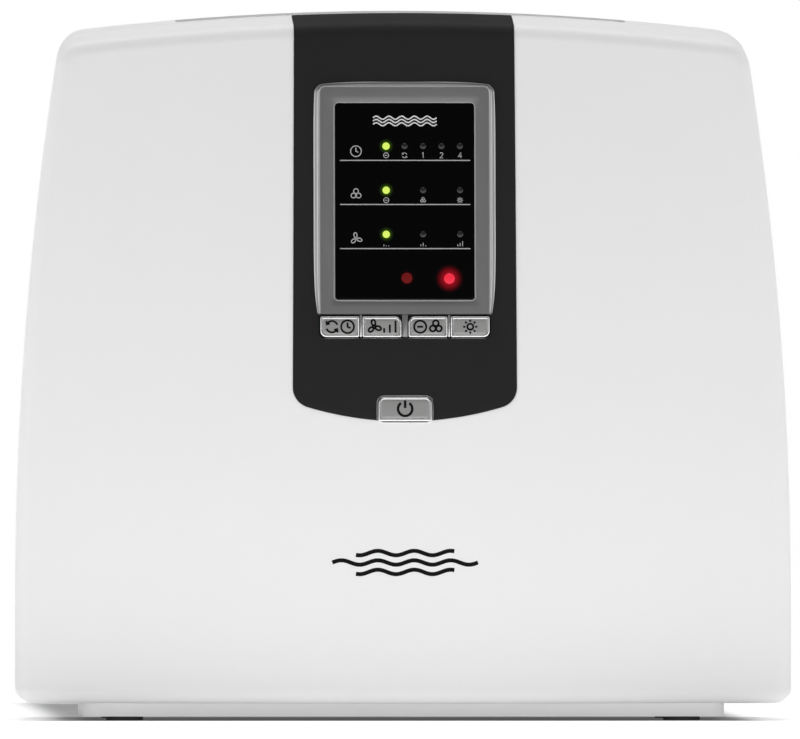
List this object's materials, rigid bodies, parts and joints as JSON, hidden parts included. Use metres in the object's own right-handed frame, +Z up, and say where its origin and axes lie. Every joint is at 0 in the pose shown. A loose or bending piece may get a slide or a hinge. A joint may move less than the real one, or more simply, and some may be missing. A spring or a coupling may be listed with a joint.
{
  "type": "air purifier",
  "caption": "Desktop air purifier with curved white shells, a dark control strip with display and keys, a rear intake cover, a filter stack and a centrifugal fan.",
  "frame": {"origin": "on the table under the middle of the body", "axes": "+Z up, +X to the right seen from the front, +Y from the front to the back"},
  "size_m": [0.378, 0.1902, 0.3472],
  "materials": {
    "shell": "satin moulded",
    "base": "fine moulded texture",
    "foot_rubber": "matt",
    "strip": "semi-gloss",
    "bezel_metal": "dark satin metallic",
    "window": "high gloss",
    "led_lens": "smoked lens",
    "led_red": "tinted lens",
    "key_metal": "satin metallic, bright edge",
    "circuit_board": "solder resist",
    "black_plastic": "matt moulded",
    "grey_plastic": "matt moulded",
    "ivory_plastic": "matt moulded",
    "cable_grey": "soft vinyl",
    "cable_brown": "soft vinyl",
    "impeller_plastic": "glass-filled nylon",
    "steel": "plated",
    "lamination": "dark laminated steel",
    "copper": "enamelled copper",
    "bronze": "sintered bronze",
    "black_rubber": "matt",
    "filter_paper": "pleated glass-fibre paper",
    "filter_frame": "white board",
    "filter_net": "nylon net",
    "carbon": "activated carbon",
    "catalyst": "coated honeycomb",
    "tab_fabric": "woven tape",
    "lamp_glass": "clear quartz",
    "reflector": "bright sheet",
    "winding_tape": "yellow tape",
    "resin": "potting resin",
    "pin_metal": "nickel plated"
  },
  "bodies": {
    "casing": {"front_shell": "shell", "rear_shell": "shell", "base_plate": "base", "rubber_feet": "foot_rubber", "outlet_grille": "shell", "fascia_strip": "strip", "display_bezel": "bezel_metal", "display_window": "window", "indicator_leds": "led_lens", "status_leds": "led_red", "control_board": "circuit_board", "tact_switches": "black_plastic", "ribbon_cable": "cable_grey", "fan_bulkhead": "grey_plastic", "scroll_wall": "grey_plastic", "filter_chamber": "grey_plastic", "inlet_ring": "grey_plastic", "motor_stator": "lamination", "motor_windings": "copper", "motor_housing": "steel", "motor_bearings": "bronze", "motor_grommets": "black_rubber", "motor_screws": "steel", "uv_lamp": "lamp_glass", "lamp_holders": "ivory_plastic", "lamp_reflector": "reflector", "lamp_ballast": "black_plastic", "door_switch": "black_plastic", "ion_generator": "resin", "ion_needle_bar": "black_plastic", "ozone_module": "resin", "power_board": "circuit_board", "board_parts": "black_plastic", "transformer": "winding_tape", "mains_wires": "cable_brown", "mains_inlet": "black_plastic", "inlet_pins": "pin_metal", "case_screws": "steel"},
    "impeller": {"impeller": "impeller_plastic", "impeller_nut": "steel", "motor_shaft": "steel", "motor_rotor": "lamination"},
    "rear_cover": {"rear_cover": "shell"},
    "prefilter": {"prefilter": "filter_net"},
    "hepa_filter": {"hepa_frame": "filter_frame", "hepa_pleats": "filter_paper", "hepa_pull_tab": "tab_fabric"},
    "carbon_filter": {"carbon_filter": "carbon"},
    "catalyst_filter": {"catalyst_filter": "catalyst"},
    "mode_button": {"mode_button": "key_metal", "mode_plunger": "ivory_plastic"},
    "speed_button": {"speed_button": "key_metal", "speed_plunger": "ivory_plastic"},
    "function_button": {"function_button": "key_metal", "function_plunger": "ivory_plastic"},
    "uv_button": {"uv_button": "key_metal", "uv_plunger": "ivory_plastic"},
    "power_button": {"power_button": "key_metal", "power_plunger": "ivory_plastic"}
  },
  "joints": [
    {"name": "impeller_spin", "type": "hinge", "parent": "casing", "child": "impeller", "pos_m": [0, 0, 0.155], "axis": [0, 1, 0], "continuous": true},
    {"name": "mode_press", "type": "slide", "parent": "casing", "child": "mode_button", "axis": [0, 0.9956, -0.0941], "range_m": [0, 0.0006], "stiffness_N_per_m": 1500, "springref_m": -0.0003},
    {"name": "speed_press", "type": "slide", "parent": "casing", "child": "speed_button", "axis": [0, 0.9956, -0.0941], "range_m": [0, 0.0006], "stiffness_N_per_m": 1500, "springref_m": -0.0003},
    {"name": "function_press", "type": "slide", "parent": "casing", "child": "function_button", "axis": [0, 0.9956, -0.0941], "range_m": [0, 0.0006], "stiffness_N_per_m": 1500, "springref_m": -0.0003},
    {"name": "uv_press", "type": "slide", "parent": "casing", "child": "uv_button", "axis": [0, 0.9956, -0.0941], "range_m": [0, 0.0006], "stiffness_N_per_m": 1500, "springref_m": -0.0003},
    {"name": "power_press", "type": "slide", "parent": "casing", "child": "power_button", "axis": [0, 0.9956, -0.0941], "range_m": [0, 0.0006], "stiffness_N_per_m": 1500, "springref_m": -0.0003},
    {"name": "cover_off", "type": "slide", "parent": "casing", "child": "rear_cover", "axis": [0, 1, 0], "range_m": [0, 0.3]},
    {"name": "prefilter_out", "type": "slide", "parent": "casing", "child": "prefilter", "axis": [0, 1, 0], "range_m": [0, 0.242]},
    {"name": "hepa_filter_out", "type": "slide", "parent": "casing", "child": "hepa_filter", "axis": [0, 1, 0], "range_m": [0, 0.182]},
    {"name": "carbon_filter_out", "type": "slide", "parent": "casing", "child": "carbon_filter", "axis": [0, 1, 0], "range_m": [0, 0.122]},
    {"name": "catalyst_filter_out", "type": "slide", "parent": "casing", "child": "catalyst_filter", "axis": [0, 1, 0], "range_m": [0, 0.062]}
  ],
  "couplings": [
    {"joint": "prefilter_out", "follows": "cover_off", "ratio": 0.8},
    {"joint": "hepa_filter_out", "follows": "cover_off", "ratio": 0.6},
    {"joint": "carbon_filter_out", "follows": "cover_off", "ratio": 0.4},
    {"joint": "catalyst_filter_out", "follows": "cover_off", "ratio": 0.2}
  ]
}
